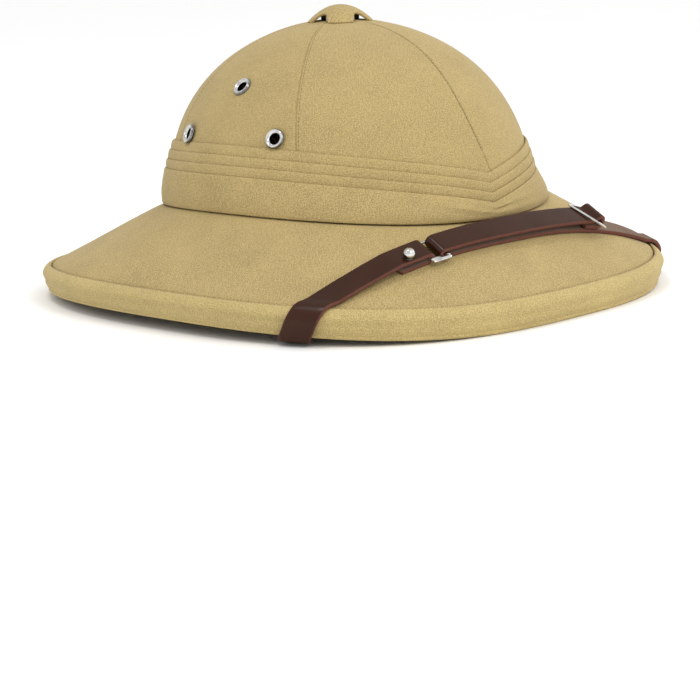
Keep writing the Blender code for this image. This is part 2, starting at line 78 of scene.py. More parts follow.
RIM_HALF_WIDTH = 0.145
RIM_HALF_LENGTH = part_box("brim")[1].y
RIM_POWER = 2.665
RIM_TAPER = 0.061
RIM_SIDE_LIFT = 0.0064
RIM_LAND = 0.20
BINDING_HEIGHT = 0.0164
BRIM_DEPTH = 0.0036

CAP_LOW, CAP_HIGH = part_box("vent_cap")
CAP_RADIUS = 0.0180
CAP_HEIGHT = CAP_HIGH.z - CAP_LOW.z
CAP_POWER = 2.0
CAP_WALL = 0.0014
CAP_SHIFT = 0.0012
CAP_OPENING = radians(42)
CAP_OPENING_HEIGHT = 0.0046

EYELETS = [f"eyelet_{side}_{number}" for side in ("right", "left") for number in (1, 2, 3)]
EYELET_PLACES = ((93.0, 0.669, 0.0004), (112.8, 0.398, 0.0012), (72.1, 0.407, 0.0012))
EYELET_HOLE = 0.0036
EYELET_FLANGE = 0.0057

# Sizes of the strap and its metal, as in the frame ----------------------------------------------

STRAP_WIDTH = 0.0130
STRAP_THICKNESS = 0.0022
STRAP_HEIGHT = GAP + STRAP_THICKNESS / 2
STRAP_REACH = 0.214
RIM_SKEW = 1.35
RIGHT_CROSSING = 56.0
RIGHT_POWER = 2.29
LEFT_CROSSING = 49.6
LEFT_POWER = 1.97
RING_ANGLE = 28.2
RING_BAR_RADIUS = 0.0010
RING_BAR_SPACING = 0.0105
FOLD_RADIUS = RING_BAR_RADIUS + GAP + STRAP_THICKNESS / 2
FOLD_HEIGHT = STRAP_HEIGHT + FOLD_RADIUS
FOLD_RETURN = 0.0184
SLIDER_ANGLE = -21.9
SLIDER_LENGTH = 0.0230
SLIDER_BAR_RADIUS = 0.0007
SLIDER_SPACING = 0.0056
ROLL_RADIUS = 0.0032
ROLL_HEIGHT = 2 * STRAP_HEIGHT + STRAP_THICKNESS / 2 + ROLL_RADIUS
UPPER_HEIGHT = STRAP_HEIGHT + 2 * FOLD_RADIUS
SLIDER_BAR_HEIGHT = 0.0096
STUD_ANGLE = 35.2
STUD_HEIGHT = 0.0019
STUD_RADIUS = 0.0031
STUD_OFFSET = 0.0031
HOOK_WIRE = 0.0010
HOOK_BAR = (0.0940, -0.0330, 0.0395)
HOOK_TIP = (0.0868, -0.0215, 0.0535)
HOOK_HALF = 0.0110
STRAP_CORNER = 0.0005
RIM_HEIGHT = 0.0018
SLIDER_REACH = 0.0080
RING_NEAR = 0.0080
RING_FAR = 0.0062
RING_SKEW = 0.0016
SLIDER_SKEW = 0.0080

# Sizes of the cloth's detail ------------------------------------------------------------------

GORE_SEAMS = [radians(degrees) for degrees in (0, 66, 123, 180, 237, 294)]
SEAM_STEPS = ((0.0, -0.00050), (0.00035, -0.00010), (0.0009, 0.00022), (0.0020, 0.00008))
GORE_COLUMNS = 14
STITCH_PITCH = 0.0022
STITCH_LENGTH = 0.0014
STITCH_RADIUS = 0.00021
TOPSTITCH = (0.0003, 0.0017, 0.0012, 0.0012, 0.0012, 0.0017)
THREAD = 0.00062

# Camera ---------------------------------------------------------------------------------------

VIEW_AZIMUTH = radians(-45.83)
VIEW_ELEVATION = radians(11.48)
VIEW_ROLL = radians(-2.11)
VIEW_DISTANCE = 1.300
VIEW_ASIDE = 0.0018
VIEW_ABOVE = -0.0386
VIEW_CENTRE = Vector((0.0, -0.0003, 0.0029))
LENS = 118.06


# Lines that shape the hat ---------------------------------------------------------------------

def squared(value, power):
    """A sine or cosine bent towards a rounded rectangle."""
    return (abs(value) ** (2 / power)) * (1 if value >= 0 else -1)


def rim_plan(angle):
    x = -RIM_HALF_WIDTH * squared(sin(angle), RIM_POWER) * (1 + RIM_TAPER * cos(angle))
    y = -RIM_HALF_LENGTH * squared(cos(angle), RIM_POWER)
    return Vector((x, y, 0))


def rim_outward(angle):
    step = 0.004
    along = rim_plan(angle + step) - rim_plan(angle - step)
    return Vector((-along.y, along.x, 0)).normalized()


def rim_bottom(angle):
    rise = max(0.0, abs(sin(angle)) - RIM_LAND) / (1 - RIM_LAND)
    return RIM_SIDE_LIFT * rise ** 1.6


def seam(angle):
    """The line where the brim's cover meets the edge binding."""
    point = rim_plan(angle)
    point.z = 0.0181 + 0.0005 * cos(angle) - 0.0027 * cos(2 * angle)
    return point


def rim_point(angle, out, up):
    top = seam(angle)
    depth = (top.z - rim_bottom(angle)) / BINDING_HEIGHT
    return top + rim_outward(angle) * out + Vector((0, 0, up * depth))


def junction(angle):
    """The hat band's lower edge, where the crown's foot meets the brim."""
    x = -BAND_HALF_WIDTH * squared(sin(angle), BAND_POWER) * (1 + BAND_TAPER * cos(angle))
    y = -BAND_HALF_LENGTH * squared(cos(angle), BAND_POWER) + CROWN_CENTRE
    z = 0.0517 + 0.0004 * cos(angle) - 0.0035 * cos(2 * angle)
    return Vector((x, y, z))


def front_turn(angle):
    """How far an angle is from the front, either way."""
    return abs((angle + pi) % (2 * pi) - pi)


def band_top(angle):
    turn = (angle + pi) % (2 * pi) - pi
    slack = 0.0048 * exp(-((turn + 1.15) / 0.45) ** 2)
    dip = BAND_DIP * exp(-abs(turn - BAND_POINT) / BAND_DIP_SPREAD)
    return junction(angle).z + BAND_HEIGHT - dip - slack


def crown_point(angle, rise, outward=0.0):
    """A point on the crown, from rise 0 at its foot to 1 at its top."""
    level = min(max(rise, 0.0), 1.0)
    reach = (1 - level ** CROWN_RISE_POWER) ** (1 / CROWN_ROUND_POWER)
    x = -(CROWN_HALF_WIDTH + outward) * reach * sin(angle)
    y = -(CROWN_HALF_LENGTH + outward) * reach * cos(angle) + CROWN_CENTRE + CROWN_LEAN * level
    return Vector((x, y, CROWN_BASE + (CROWN_TOP + outward - CROWN_BASE) * rise))


def crown_at_height(angle, height, outward=0.0):
    point = crown_point(angle, (height - CROWN_BASE) / (CROWN_TOP - CROWN_BASE), outward)
    point.z = height
    return point


def crown_outward(angle, rise):
    """The direction square to the crown."""
    step = 0.004
    along = crown_point(angle + step, rise) - crown_point(angle - step, rise)
    upward = crown_point(angle, rise + step) - crown_point(angle, rise - step)
    return upward.cross(along).normalized()


def crown_skin(angle, rise, dip=0.0):
    """A point on the crown's cloth, with its soft unevenness and a seam's dip."""
    point = crown_point(angle, rise)
    return point + crown_outward(angle, rise) * (dip + ripple(point, 22, 0.0006))


def crown_girth(angle, rise):
    """Distance round the crown for each radian, at an angle and a rise."""
    reach = (1 - min(max(rise, 0.0), 1.0) ** CROWN_RISE_POWER) ** (1 / CROWN_ROUND_POWER)
    return hypot(CROWN_HALF_WIDTH * cos(angle), CROWN_HALF_LENGTH * sin(angle)) * reach


def seam_turn(start, rise):
    """A gore seam's angle at a height. The seams lean towards the back as they near the top."""
    lean = radians(5) * (rise - 0.55) + radians(10) * rise ** 14
    side = sin(start)
    if abs(side) < 0.1:
        return start + (radians(4.2) * sin(pi * max(0.0, rise - 0.15) / 0.85) if cos(start) > 0 else 0)
    return start + (lean if side > 0 else -lean)


def ripple(point, scale, depth):
    """A small soft unevenness, the same each run."""
    return noise.noise(point * scale) * depth


def spread(first, last, count):
    return [first + (last - first) * i / (count - 1) for i in range(count)]


# Tools ----------------------------------------------------------------------------------------

def alone(piece):
    """Select one object and make it the active one."""
    bpy.ops.object.select_all(action="DESELECT")
    piece.select_set(True)
    bpy.context.view_layer.objects.active = piece


def edit(piece, *steps):
    """Run mesh operators on the whole of a piece."""
    alone(piece)
    bpy.ops.object.mode_set(mode="EDIT")
    bpy.ops.mesh.select_all(action="SELECT")
    for operator, settings in steps:
        operator(**settings)
    bpy.ops.object.mode_set(mode="OBJECT")


def modify(piece, kind, **settings):
    """Add a modifier and apply it."""
    alone(piece)
    modifier = piece.modifiers.new(kind.lower(), kind)
    for name, value in settings.items():
        setattr(modifier, name, value)
    bpy.ops.object.modifier_apply(modifier=modifier.name)


def grid_piece(name, rows, lengths, **marks):
    """A sheet through rows of points, with their cloth lengths as its UV map. What meets is welded.

    Each mark is an attribute, given as one value for each point of a row.
    """
    bpy.ops.object.select_all(action="DESELECT")
    bpy.ops.mesh.primitive_grid_add(x_subdivisions=len(rows[0]) - 1, y_subdivisions=len(rows) - 1)
    piece = bpy.context.object
    piece.name = name
    piece.data.name = name
    points = [point for row in rows for point in row]
    for vertex, point in zip(piece.data.vertices, points):
        vertex.co = point
    spots = [spot for row in lengths for spot in row]
    uv = piece.data.uv_layers[0].data
    for loop in piece.data.loops:
        uv[loop.index].uv = spots[loop.vertex_index]
    for mark, values in marks.items():
        attribute = piece.data.attributes.new(mark, "FLOAT", "POINT")
        attribute.data.foreach_set("value", values * len(rows))
    piece.location = (0, 0, 0)
    edit(
        piece,
        (bpy.ops.mesh.remove_doubles, {"threshold": 0.00001}),
        (bpy.ops.mesh.normals_make_consistent, {"inside": False}),
    )
    return piece


def finish_piece(piece, slot, surface, *nodes):
    """Shade a piece, give it its material, and let it stand for its CAD nodes."""
    piece.data.materials.clear()
    piece.data.materials.append(surface)
    alone(piece)
    bpy.ops.object.shade_smooth_by_angle(angle=radians(50))
    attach(piece, "root")
    if nodes:
        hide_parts(*nodes)
    return piece


# Materials ------------------------------------------------------------------------------------

class Shade:
    """A socket of a material's nodes, on which arithmetic adds Math nodes."""

    def __init__(self, tree, socket=None):
        self.tree = tree
        self.socket = socket

    def node(self, kind, settings, inputs, output=0):
        made = self.tree.nodes.new("ShaderNode" + kind)
        for name, value in settings.items():
            setattr(made, name, value)
        for name, value in inputs.items():
            if isinstance(value, Shade):
                self.tree.links.new(value.socket, made.inputs[name])
            else:
                made.inputs[name].default_value = value
        return Shade(self.tree, made.outputs[output])

    def math(self, operation, *values):
        return self.node("Math", {"operation": operation}, dict(enumerate(values)))

    def __add__(self, other):
        return self.math("ADD", self, other)

    def __sub__(self, other):
        return self.math("SUBTRACT", self, other)

    def __rsub__(self, other):
        return self.math("SUBTRACT", other, self)

    def __mul__(self, other):
        return self.math("MULTIPLY", self, other)

    def __truediv__(self, other):
        return self.math("DIVIDE", self, other)

    __radd__ = __add__
    __rmul__ = __mul__

    def between(self, low, high):
        """0 below low, 1 above high, and smooth between."""
        settings = {"interpolation_type": "SMOOTHSTEP", "clamp": True}
        return self.node("MapRange", settings, {"Value": self, "From Min": low, "From Max": high})

    def blend(self, first, second):
        """From the first colour to the second, by this value."""
        return self.node("Mix", {"data_type": "RGBA"}, {"Factor": self, 6: first, 7: second}, 2)

    def noise(self, scale, detail=2.0):
        """Noise at this vector."""
        inputs = {"Vector": self, "Scale": scale, "Detail": detail}
        return self.node("TexNoise", {"noise_dimensions": "3D"}, inputs)


def new_material(name, **sockets):
    """A material, its shader and a starting point for its nodes."""
    made = bpy.data.materials.new(name)
    made.use_nodes = True
    shader = made.node_tree.nodes["Principled BSDF"]
    for socket, value in sockets.items():
        shader.inputs[socket.replace("_", " ")].default_value = value
    return made, shader, Shade(made.node_tree)


def link(shader, name, value):
    value.tree.links.new(value.socket, shader.inputs[name])


def bump(shade, height, distance, strength=1.0):
    inputs = {"Height": height, "Distance": distance, "Strength": strength}
    return shade.node("Bump", {}, inputs)


def cloth(name, light, dark, fleck):
    """Cotton drill: diagonal ribs of fine threads, flecks of two yarns and long slubs."""
    made, shader, shade = new_material(name, Sheen_Weight=0.04, Sheen_Roughness=0.5)
    spot = shade.node("UVMap", {"uv_map": "UVMap"}, {})
    parts = shade.node("SeparateXYZ", {}, {"Vector": spot})
    across, up = parts, Shade(made.node_tree, parts.socket.node.outputs[1])
    rib = shade.math("SINE", (across + up) * (pi / THREAD))
    thread = shade.math("SINE", up * (2 * pi / THREAD))
    weave = rib * 0.3 + thread * 0.2 + 0.5
    place = shade.node("TexCoord", {}, {}, 3)
    yarn = spot.node("VectorMath", {"operation": "MULTIPLY"}, {0: spot, 1: (1.0, 0.16, 1.0)})
    slub = yarn.noise(1500, 2.0)
    speck = spot.noise(1500, 2.0)
    patch = place.noise(45, 3.0)
    tone = (slub * 0.5 + speck * 1.3 + patch * 0.25 - 0.52).between(0.30, 0.70)
    # The weave's valleys darken the colour between the threads, as painted shade.
    colour = (tone * 0.75 + weave * 0.25).blend(dark, light)
    colour = (speck.between(0.56, 0.72) * 0.5).blend(colour, fleck)
    link(shader, "Base Color", colour)
    link(shader, "Roughness", weave * -0.1 + 0.9)
    height = weave * 0.7 + slub * 0.5 + speck * 0.4
    link(shader, "Normal", bump(shade, height, 0.00014, 0.7))
    return made


def thread_material():
    made, shader, shade = new_material("sewing_thread", Sheen_Weight=0.2)
    place = shade.node("TexCoord", {}, {}, 3)
    twist = place.noise(2600, 2.0)
    link(shader, "Base Color", twist.blend((0.10, 0.070, 0.032, 1), (0.19, 0.14, 0.068, 1)))
    link(shader, "Roughness", twist * 0.2 + 0.6)
    link(shader, "Normal", bump(shade, twist, 0.0001, 0.6))
    return made


def leather_material():
    """Dark smooth leather, with a fibrous flesh side and raw cut edges."""
    made, shader, shade = new_material("brown_leather", Coat_Roughness=0.24, Specular_IOR_Level=0.0)
    place = shade.node("TexCoord", {}, {}, 3)
    flesh = shade.node("Attribute", {"attribute_name": "flesh"}, {}, 2)
    cut = shade.node("Attribute", {"attribute_name": "cut"}, {}, 2)
    pores = shade.node(
        "TexVoronoi", {"feature": "DISTANCE_TO_EDGE"}, {"Vector": place, "Scale": 1500.0, "Randomness": 1.0},
    )
    creases = pores.between(0.02, 0.16)
    haze = place.noise(60, 4.0)
    fibre = place.noise(2400, 4.0)
    grain = (haze * 0.8 + creases * 0.25 - 0.1).blend((0.024, 0.0070, 0.0022, 1), (0.050, 0.0160, 0.0056, 1))
    suede = (fibre * 0.7 + haze * 0.5 - 0.1).blend((0.105, 0.066, 0.048, 1), (0.27, 0.20, 0.155, 1))
    raw = (fibre * 1.2 - 0.1).blend((0.070, 0.024, 0.018, 1), (0.235, 0.105, 0.080, 1))
    colour = cut.blend(flesh.blend(grain, suede), raw)
    link(shader, "Base Color", colour)
    rough = flesh.math("MAXIMUM", flesh, cut)
    link(shader, "Roughness", haze * 0.14 + creases * -0.05 + 0.32 + rough * 0.42)
    link(shader, "Coat Weight", (1 - rough) * 0.38)
    height = creases * 0.6 * (1 - rough) + fibre * rough * 1.6 + haze * 0.8
    link(shader, "Normal", bump(shade, height, 0.00010, 0.5))
    return made


def nickel_material(name, bright, dull, worn):
    made, shader, shade = new_material(name, Metallic=1.0)
    place = shade.node("TexCoord", {}, {}, 3)
    stain = place.noise(220, 4.0)
    scratch = place.noise(3000, 2.0)
    # An attribute paints shade on a piece, darkening the colour and raising the roughness where shade falls;
    # the noise adds real stains and scratches.
    painted_shade = shade.node("Attribute", {"attribute_name": "tarnish"}, {}, 2)
    tarnish = (stain * 0.8 + scratch * 0.3).between(0.45, 0.8) * 0.5 + painted_shade * 0.8
    link(shader, "Base Color", tarnish.blend(bright, dull))
    link(shader, "Roughness", tarnish * worn + 0.13)
    link(shader, "Normal", bump(shade, stain, 0.00004, 0.2))
    return made


def backdrop_material():
    made, shader, shade = new_material("pale_floor")
    place = shade.node("TexCoord", {}, {}, 3)
    link(shader, "Base Color", place.noise(8, 2.0).blend((0.955, 0.955, 0.95, 1), (0.97, 0.97, 0.965, 1)))
    shader.inputs["Roughness"].default_value = 0.75
    return made


# Crown ----------------------------------------------------------------------------------------

def gore_columns():
    """Columns round the crown: the seam on each side, distance from it, share across, and dip."""
    columns = []
    for gore, start in enumerate(GORE_SEAMS):
        stop = GORE_SEAMS[(gore + 1) % 6] + (2 * pi if gore == 5 else 0)
        columns += [(start, stop, distance, 0.0, dip) for distance, dip in SEAM_STEPS]
        for share in spread(0, 1, GORE_COLUMNS + 2)[1:-1]:
            columns.append((start, stop, SEAM_STEPS[-1][0], share, 0.0))
        columns += [(start, stop, distance, 1.0, dip) for distance, dip in reversed(SEAM_STEPS)]
    return columns


def column_angle(column, rise):
    """The angle of a column, whose distance from its seam stays the same as the gore narrows."""
    start, stop, distance, share, _ = column
    before = seam_turn(start, rise) + distance / crown_girth(start, rise)
    after = seam_turn(stop, rise) - distance / crown_girth(stop, rise)
    return before + (after - before) * share


def crown_rings():
    """Rise, outward offset and path length of each ring, up the outside and down the inside."""
    reach = VENT_RADIUS / CROWN_HALF_WIDTH
    top = (1 - reach ** CROWN_ROUND_POWER) ** (1 / CROWN_RISE_POWER)
    steep = [sin(turn) ** (2 / CROWN_RISE_POWER) for turn in spread(0.02, pi / 2 - 0.02, 60)]
    rises = [rise for rise in steep if rise < top] + [top]
    outside = [(rise, 0.0) for rise in rises]
    inside = [(rise, -CROWN_WALL) for rise in reversed(rises)]
    return outside, inside


def build_crown(surface):
    """Six sewn gores over a hollow shell. Each seam is a groove between two soft ridges."""
    columns = gore_columns()
    outside, inside = crown_rings()
    rows, lengths = [], []
    rings = [(None, 0.0)] + outside + inside + [(None, -CROWN_WALL), (None, 0.0)]
    for number, (rise, outward) in enumerate(rings):
        row, spots = [], []
        for column in columns + columns[:1]:
            last = len(row) == len(columns)
            start, stop, _, _, dip = column
            level = 0.0 if rise is None else rise
            angle = column_angle(column, level) + (2 * pi if last else 0)
            if rise is None:
                height = junction(angle).z - BRIM_DEPTH
                point = crown_at_height(angle, height, outward)
            else:
                point = crown_point(angle, rise, outward)
                if outward == 0.0:
                    point = crown_skin(angle, rise, dip)
                elif rise == outside[-1][0]:
                    point.z = crown_point(angle, rise).z - CROWN_WALL
            centre = (start + stop) / 2
            middle = centre + (2 * pi if last else 0)
            spots.append(((angle - middle) * crown_girth(centre, level), number * 0.0030))
            row.append(point)
        rows.append(row)
        lengths.append(spots)
    piece = grid_piece("crown_cover", rows, lengths)
    pierce(piece, EYELETS)
    return finish_piece(piece, "crown_cloth", surface, "crown")


def eyelet_seat(node):
    """The middle of an eyelet's seat on the crown and the way it faces."""
    side, number = node.split("_")[1:]
    degrees, rise, proud = EYELET_PLACES[int(number) - 1]
    angle = radians(degrees if side == "right" else -degrees)
    out = crown_outward(angle, rise)
    return crown_point(angle, rise) + out * proud, out


def pierce(piece, eyelets):
    """Cut the eyelets' holes through a cloth-covered wall."""
    for node in eyelets:
        middle, axis = eyelet_seat(node)
        bpy.ops.object.select_all(action="DESELECT")
        turn = axis.to_track_quat("Z", "Y").to_euler()
        bpy.ops.mesh.primitive_cylinder_add(
            vertices=32, radius=EYELET_HOLE, depth=0.02, location=middle, rotation=turn,
        )
        drill = bpy.context.object
        modify(piece, "BOOLEAN", operation="DIFFERENCE", object=drill)
        bpy.data.objects.remove(drill)


# Stitches -------------------------------------------------------------------------------------

def stitch_row(name, path, surface):
    """Stitches along a path of points with their outward directions, joined in one mesh."""
    bpy.ops.object.select_all(action="DESELECT")
    bpy.ops.mesh.primitive_uv_sphere_add(segments=6, ring_count=5, radius=1)
    piece = bpy.context.object
    piece.name = name
    form = [vertex.co.copy() for vertex in piece.data.vertices]
    faces = [tuple(face.vertices) for face in piece.data.polygons]
    points, sides = [], []
    for place, along, out in stations(path):
        across = out.cross(along).normalized()
        first = len(points)
        for spot in form:
            points.append(
                place + along * spot.z * STITCH_LENGTH / 2 + across * spot.x * STITCH_RADIUS
                + out * spot.y * STITCH_RADIUS * 0.7
            )
        sides += [tuple(first + corner for corner in face) for face in faces]
    mesh = bpy.data.meshes.new(name)
    mesh.from_pydata(points, [], sides)
    piece.data = mesh
    edit(piece, (bpy.ops.mesh.normals_make_consistent, {"inside": False}))
    return finish_piece(piece, "crown_cloth", surface)


def stations(path):
    """Places a stitch apart along a path, with the directions along and out of the cloth."""
    travelled, due = 0.0, STITCH_PITCH / 2
    for (here, out), (there, _) in zip(path, path[1:]):
        step = there - here
        while step.length > 0 and due <= travelled + step.length:
            place = here + step * (due - travelled) / step.length
            yield place, step.normalized(), out
            due += STITCH_PITCH
        travelled += step.length


def build_topstitching(surface):
    """A row beside each of the crown's seams, lying in its own shallow dent."""
    for number, start in enumerate(GORE_SEAMS):
        path = []
        for rise in spread(0.30, 0.975, 70):
            beside = TOPSTITCH[number] / crown_girth(start, rise)
            angle = seam_turn(start, rise) + (-beside if 0 < start < 3 else beside)
            path.append((crown_skin(angle, rise, 0.00012), crown_outward(angle, rise)))
        stitch_row(f"topstitch_{number + 1}", path, surface)


def build_rim_stitching(surface):
    """A fine row where the binding is sewn to the brim."""
    path = []
    for angle in spread(-pi, pi, 361):
        out = (rim_outward(angle) * 0.3 + Vector((0, 0, 1))).normalized()
        path.append((rim_point(angle, 0.0015, 0.0003), out))
    stitch_row("binding_stitches", path, surface)


# Hat band -------------------------------------------------------------------------------------

def band_section(angle):
    """The band's outline in heights and offsets from the crown, from its lower edge upwards."""
    top = band_top(angle)
    turn = (angle + pi) % (2 * pi) - pi
    snug = 1 - 0.6 * exp(-((turn + 1.15) / 0.5) ** 2)
    folds = []
    for pleat in (3, 2, 1, 0):
        edge = top - pleat * PLEAT_PITCH
        proud = BAND_THICKNESS + pleat * PLEAT_STEP
        start = edge - PLEAT_PITCH
        if pleat < 3:
            folds += [(start - 0.0002, proud - 0.0004), (start + 0.0006, proud)]
            folds.append((start + 0.0022, proud + 0.0002))
            folds.append((edge - 0.0014, proud + 0.0002))
        folds += [(edge - 0.0006, proud + 0.0001), (edge - 0.0001, proud - 0.0002)]
        folds.append((edge + 0.0001, proud - 0.0006))
        if pleat:
            folds.append((edge - 0.0003, proud - 0.0014))
    folds.append((top - 0.0002, GAP))
    return [(height, offset * snug) for height, offset in folds]


def dent(point, offset, eyelets):
    """Press the band flat under an eyelet's flange."""
    for middle, axis in eyelets:
        aside = point - middle
        distance = (aside - axis * aside.dot(axis)).length
        if distance < EYELET_FLANGE * 1.9 and aside.length < 0.02:
            press = min(1.0, max(0.0, (EYELET_FLANGE * 1.9 - distance) / (EYELET_FLANGE * 0.8)))
            offset += (min(offset, 0.0006) - offset) * press
    return offset


def crease(angle, share):
    """Soft pulls in the broad fold, strongest near the front."""
    near = exp(-(front_turn(angle) / 0.55) ** 2)
    wave = noise.noise(Vector((angle * 2.2 + share * 1.3, share * 6.0 - angle * 3.0, 3.0)))
    return wave * (0.0002 + 0.0011 * near)


def build_band(surface):
    """A broad plain fold with three narrow pleats above it, dipping to a point at the front."""
    half = [0.0, 0.004, 0.012, 0.024, 0.04] + spread(0.06, pi, 116)
    angles = [BAND_POINT + angle for angle in [-angle for angle in reversed(half[1:])] + half]
    eyelets = [eyelet_seat(node) for node in EYELETS if not node.endswith("_1")]
    columns = []
    for angle in angles:
        foot = junction(angle) + Vector((0, 0, GAP))
        centre = Vector((0, CROWN_CENTRE, foot.z))
        out = (foot - centre).normalized()
        section = band_section(angle)
        lip = crown_at_height(angle, section[0][0], section[0][1])
        column = [foot - out * 0.0020 + Vector((0, 0, 0.0008)), foot - out * 0.0004 + Vector((0, 0, 0.0001))]
        for share in (0.004, 0.02, 0.05, 0.12, 0.22, 0.34, 0.46, 0.58, 0.70, 0.82, 0.92):
            bulge = 0.0013 * sin(pi * share) ** 0.35 * (1 - share) + 0.0006 * sin(pi * share)
            bulge += crease(angle, share) * sin(pi * share)
            column.append(foot.lerp(lip, share) + out * bulge)
        for height, offset in section:
            point = crown_at_height(angle, height, offset)
            column.append(crown_at_height(angle, height, dent(point, offset, eyelets)))
        for share in (0.9, 0.6, 0.3, 0.0):
            height = foot.z + (band_top(angle) - foot.z) * share
            column.append(crown_at_height(angle, height, GAP))
        column.append(column[0])
        columns.append(column)
    rows = [list(row) for row in zip(*columns)]
    piece = grid_piece("pleated_band", rows, row_lengths(rows))
    pierce(piece, [node for node in EYELETS if not node.endswith("_1")])
    return finish_piece(piece, "band_cloth", surface, "puggaree")


def row_lengths(rows):
    """Cloth lengths of a grid: round its middle row, and from its first row on."""
    middle = rows[len(rows) // 3]
    round_hat = [0.0]
    for here, there in zip(middle, middle[1:]):
        round_hat.append(round_hat[-1] + (there - here).length)
    lengths, climbed = [], 0.0
    for i, row in enumerate(rows):
        if i:
            quarter = len(row) // 4
            climbed += (row[quarter] - rows[i - 1][quarter]).length
        lengths.append([(distance, climbed) for distance in round_hat])
    return lengths


# Brim and binding -----------------------------------------------------------------------------

def brim_column(angle):
    """The brim's section, from its inner edge over the top to the seam and back below."""
    start, stop = junction(angle), seam(angle)
    inner = crown_at_height(angle, start.z, GAP)
    down = (stop - start).normalized()
    out = Vector((down.x, down.y, 0)).normalized()
    normal = (out * -down.z + Vector((0, 0, hypot(down.x, down.y)))).normalized()
    column = [inner]
    for across in [0.0, 0.03] + spread(0.07, 0.96, 22) + [0.985, 0.994, 0.999]:
        point = start.lerp(stop, across)
        lift = -0.0006 * exp(-across / 0.025) + ripple(point, 14, 0.0007) * sin(pi * across)
        sink = 0.0007 * max(0.0, (across - 0.975) / 0.025) ** 2
        column.append(point + normal * (lift - sink))
    drop = Vector((0, 0, -BRIM_DEPTH))
    for across in (1.0, 0.98, 0.9, 0.75, 0.6, 0.45, 0.3, 0.15, 0.0):
        column.append(start.lerp(stop, across) + drop)
    column += [inner + drop, inner]
    return column


def build_brim(surface):
    columns = [brim_column(angle) for angle in spread(-pi, pi, 241)]
    rows = [list(row) for row in zip(*columns)]
    piece = grid_piece("brim_cover", rows, row_lengths(rows))
    return finish_piece(piece, "brim_cloth", surface, "brim")


def smooth_outline(corners, steps):
    """A closed curve through corners, with steps points from each to the next."""
    count = len(corners)
    outline = []
    for i in range(count):
        a, b, c, d = (corners[(i + k) % count] for k in (-1, 0, 1, 2))
        for step in range(steps):
            t = step / steps
            outline.append(tuple(
                0.5 * (2 * q + (r - p) * t + (2 * p - 5 * q + 4 * r - s) * t ** 2
                       + (3 * q - p - 3 * r + s) * t ** 3)
                for p, q, r, s in zip(a, b, c, d)
            ))
    return outline + outline[:1]


def build_binding(surface):
    """A deep roll of cloth round the rim: a rounded shoulder, a hollow face and a lip below."""
    corners = (
        (0.0004, -0.0012), (0.0006, 0.0001), (0.0014, 0.0004), (0.0027, -0.0003), (0.0044, -0.0020),
        (0.0055, -0.0045), (0.0049, -0.0068), (0.0043, -0.0084), (0.0041, -0.0106), (0.0030, -0.0131),
        (0.0024, -0.0142),
        (0.0026, -0.0152), (0.0020, -0.0162), (0.0005, -0.0164), (-0.0018, -0.0164), (-0.0030, -0.0152),
        (-0.0031, -0.0100), (-0.0030, -0.0054), (-0.0018, -0.0043), (0.0003, -0.0040),
    )
    outline = smooth_outline(corners, 3)
    columns = []
    for angle in spread(-pi, pi, 241):
        column = []
        for out, up in outline:
            up = max(up, -BINDING_HEIGHT)
            point = rim_point(angle, out, up)
            face = max(0.0, min(1.0, (out - 0.001) / 0.002)) * max(0.0, min(1.0, (up + 0.0155) / 0.003))
            column.append(point + rim_outward(angle) * ripple(point, 40, 0.0005) * face)
        columns.append(column)
    rows = [list(row) for row in zip(*columns)]
    piece = grid_piece("edge_binding", rows, row_lengths(rows))
    return finish_piece(piece, "binding_cloth", surface, "rim_binding")


# Ventilator cap -------------------------------------------------------------------------------

def build_cap(surface):
    """A low cloth dome on four legs, with an arch between each pair."""
    centre = Vector((0, (CAP_LOW.y + CAP_HIGH.y) / 2 - CAP_SHIFT, CAP_LOW.z))
    rows = []
    steps = spread(0, 2 * pi, 97)
    for climb in spread(0, 1, 14):
        row = []
        for turn in steps:
            aside = abs((turn + pi / 4) % (pi / 2) - pi / 4) / (CAP_OPENING / 2)
            arch = CAP_OPENING_HEIGHT * max(0.0, 1 - aside ** 2.4) ** 0.8
            height = arch + (CAP_HEIGHT - arch) * climb
            radius = CAP_RADIUS * max(0.0, 1 - height / CAP_HEIGHT) ** (1 / CAP_POWER)
            row.append(centre + Vector((radius * cos(turn), radius * sin(turn), height)))
        rows.append(row)
    piece = grid_piece("cap_cover", rows, row_lengths(rows))
    modify(piece, "SOLIDIFY", thickness=CAP_WALL, offset=-1.0)
    modify(piece, "BEVEL", width=0.0004, segments=2, limit_method="ANGLE", angle_limit=radians(50))
    return finish_piece(piece, "cap_cloth", surface, "vent_cap")


# Strap ----------------------------------------------------------------------------------------

def brim_point(angle, across):
    return junction(angle).lerp(seam(angle), across)


def brim_normal(angle, across):
    step = 0.004
    along = brim_point(angle + step, across) - brim_point(angle - step, across)
    down = seam(angle) - junction(angle)
    normal = along.cross(down).normalized()
    return normal if normal.z > 0 else -normal


def strap_across(degrees):
    """How far down the brim the strap's middle lies at an angle round the hat."""
    crossing = RIGHT_CROSSING if degrees >= 0 else LEFT_CROSSING
    power = RIGHT_POWER if degrees >= 0 else LEFT_POWER
    return STRAP_REACH + (1 - STRAP_REACH) * (abs(degrees) / crossing) ** power


def strap_frame(degrees):
    """Middle of the strap's route on the brim, with its directions along, across and out."""
    step = 0.2
    route = [brim_point(radians(d), strap_across(d)) for d in (degrees - step, degrees + step)]
    along = (route[1] - route[0]).normalized()
    out = brim_normal(radians(degrees), strap_across(degrees))
    sideways = out.cross(along).normalized()
    along = sideways.cross(out).normalized()
    return brim_point(radians(degrees), strap_across(degrees)), along, sideways, out


def degrees_beside(degrees, distance):
    """The angle reached by going a distance along the strap's route."""
    here, there = strap_frame(degrees)[0], strap_frame(degrees + 1)[0]
    return degrees + distance / (there - here).length


def station(middle, sideways, out, face=1):
    """A place on the strap with its directions across and out of its smooth side."""
    return middle, sideways.copy(), out * face


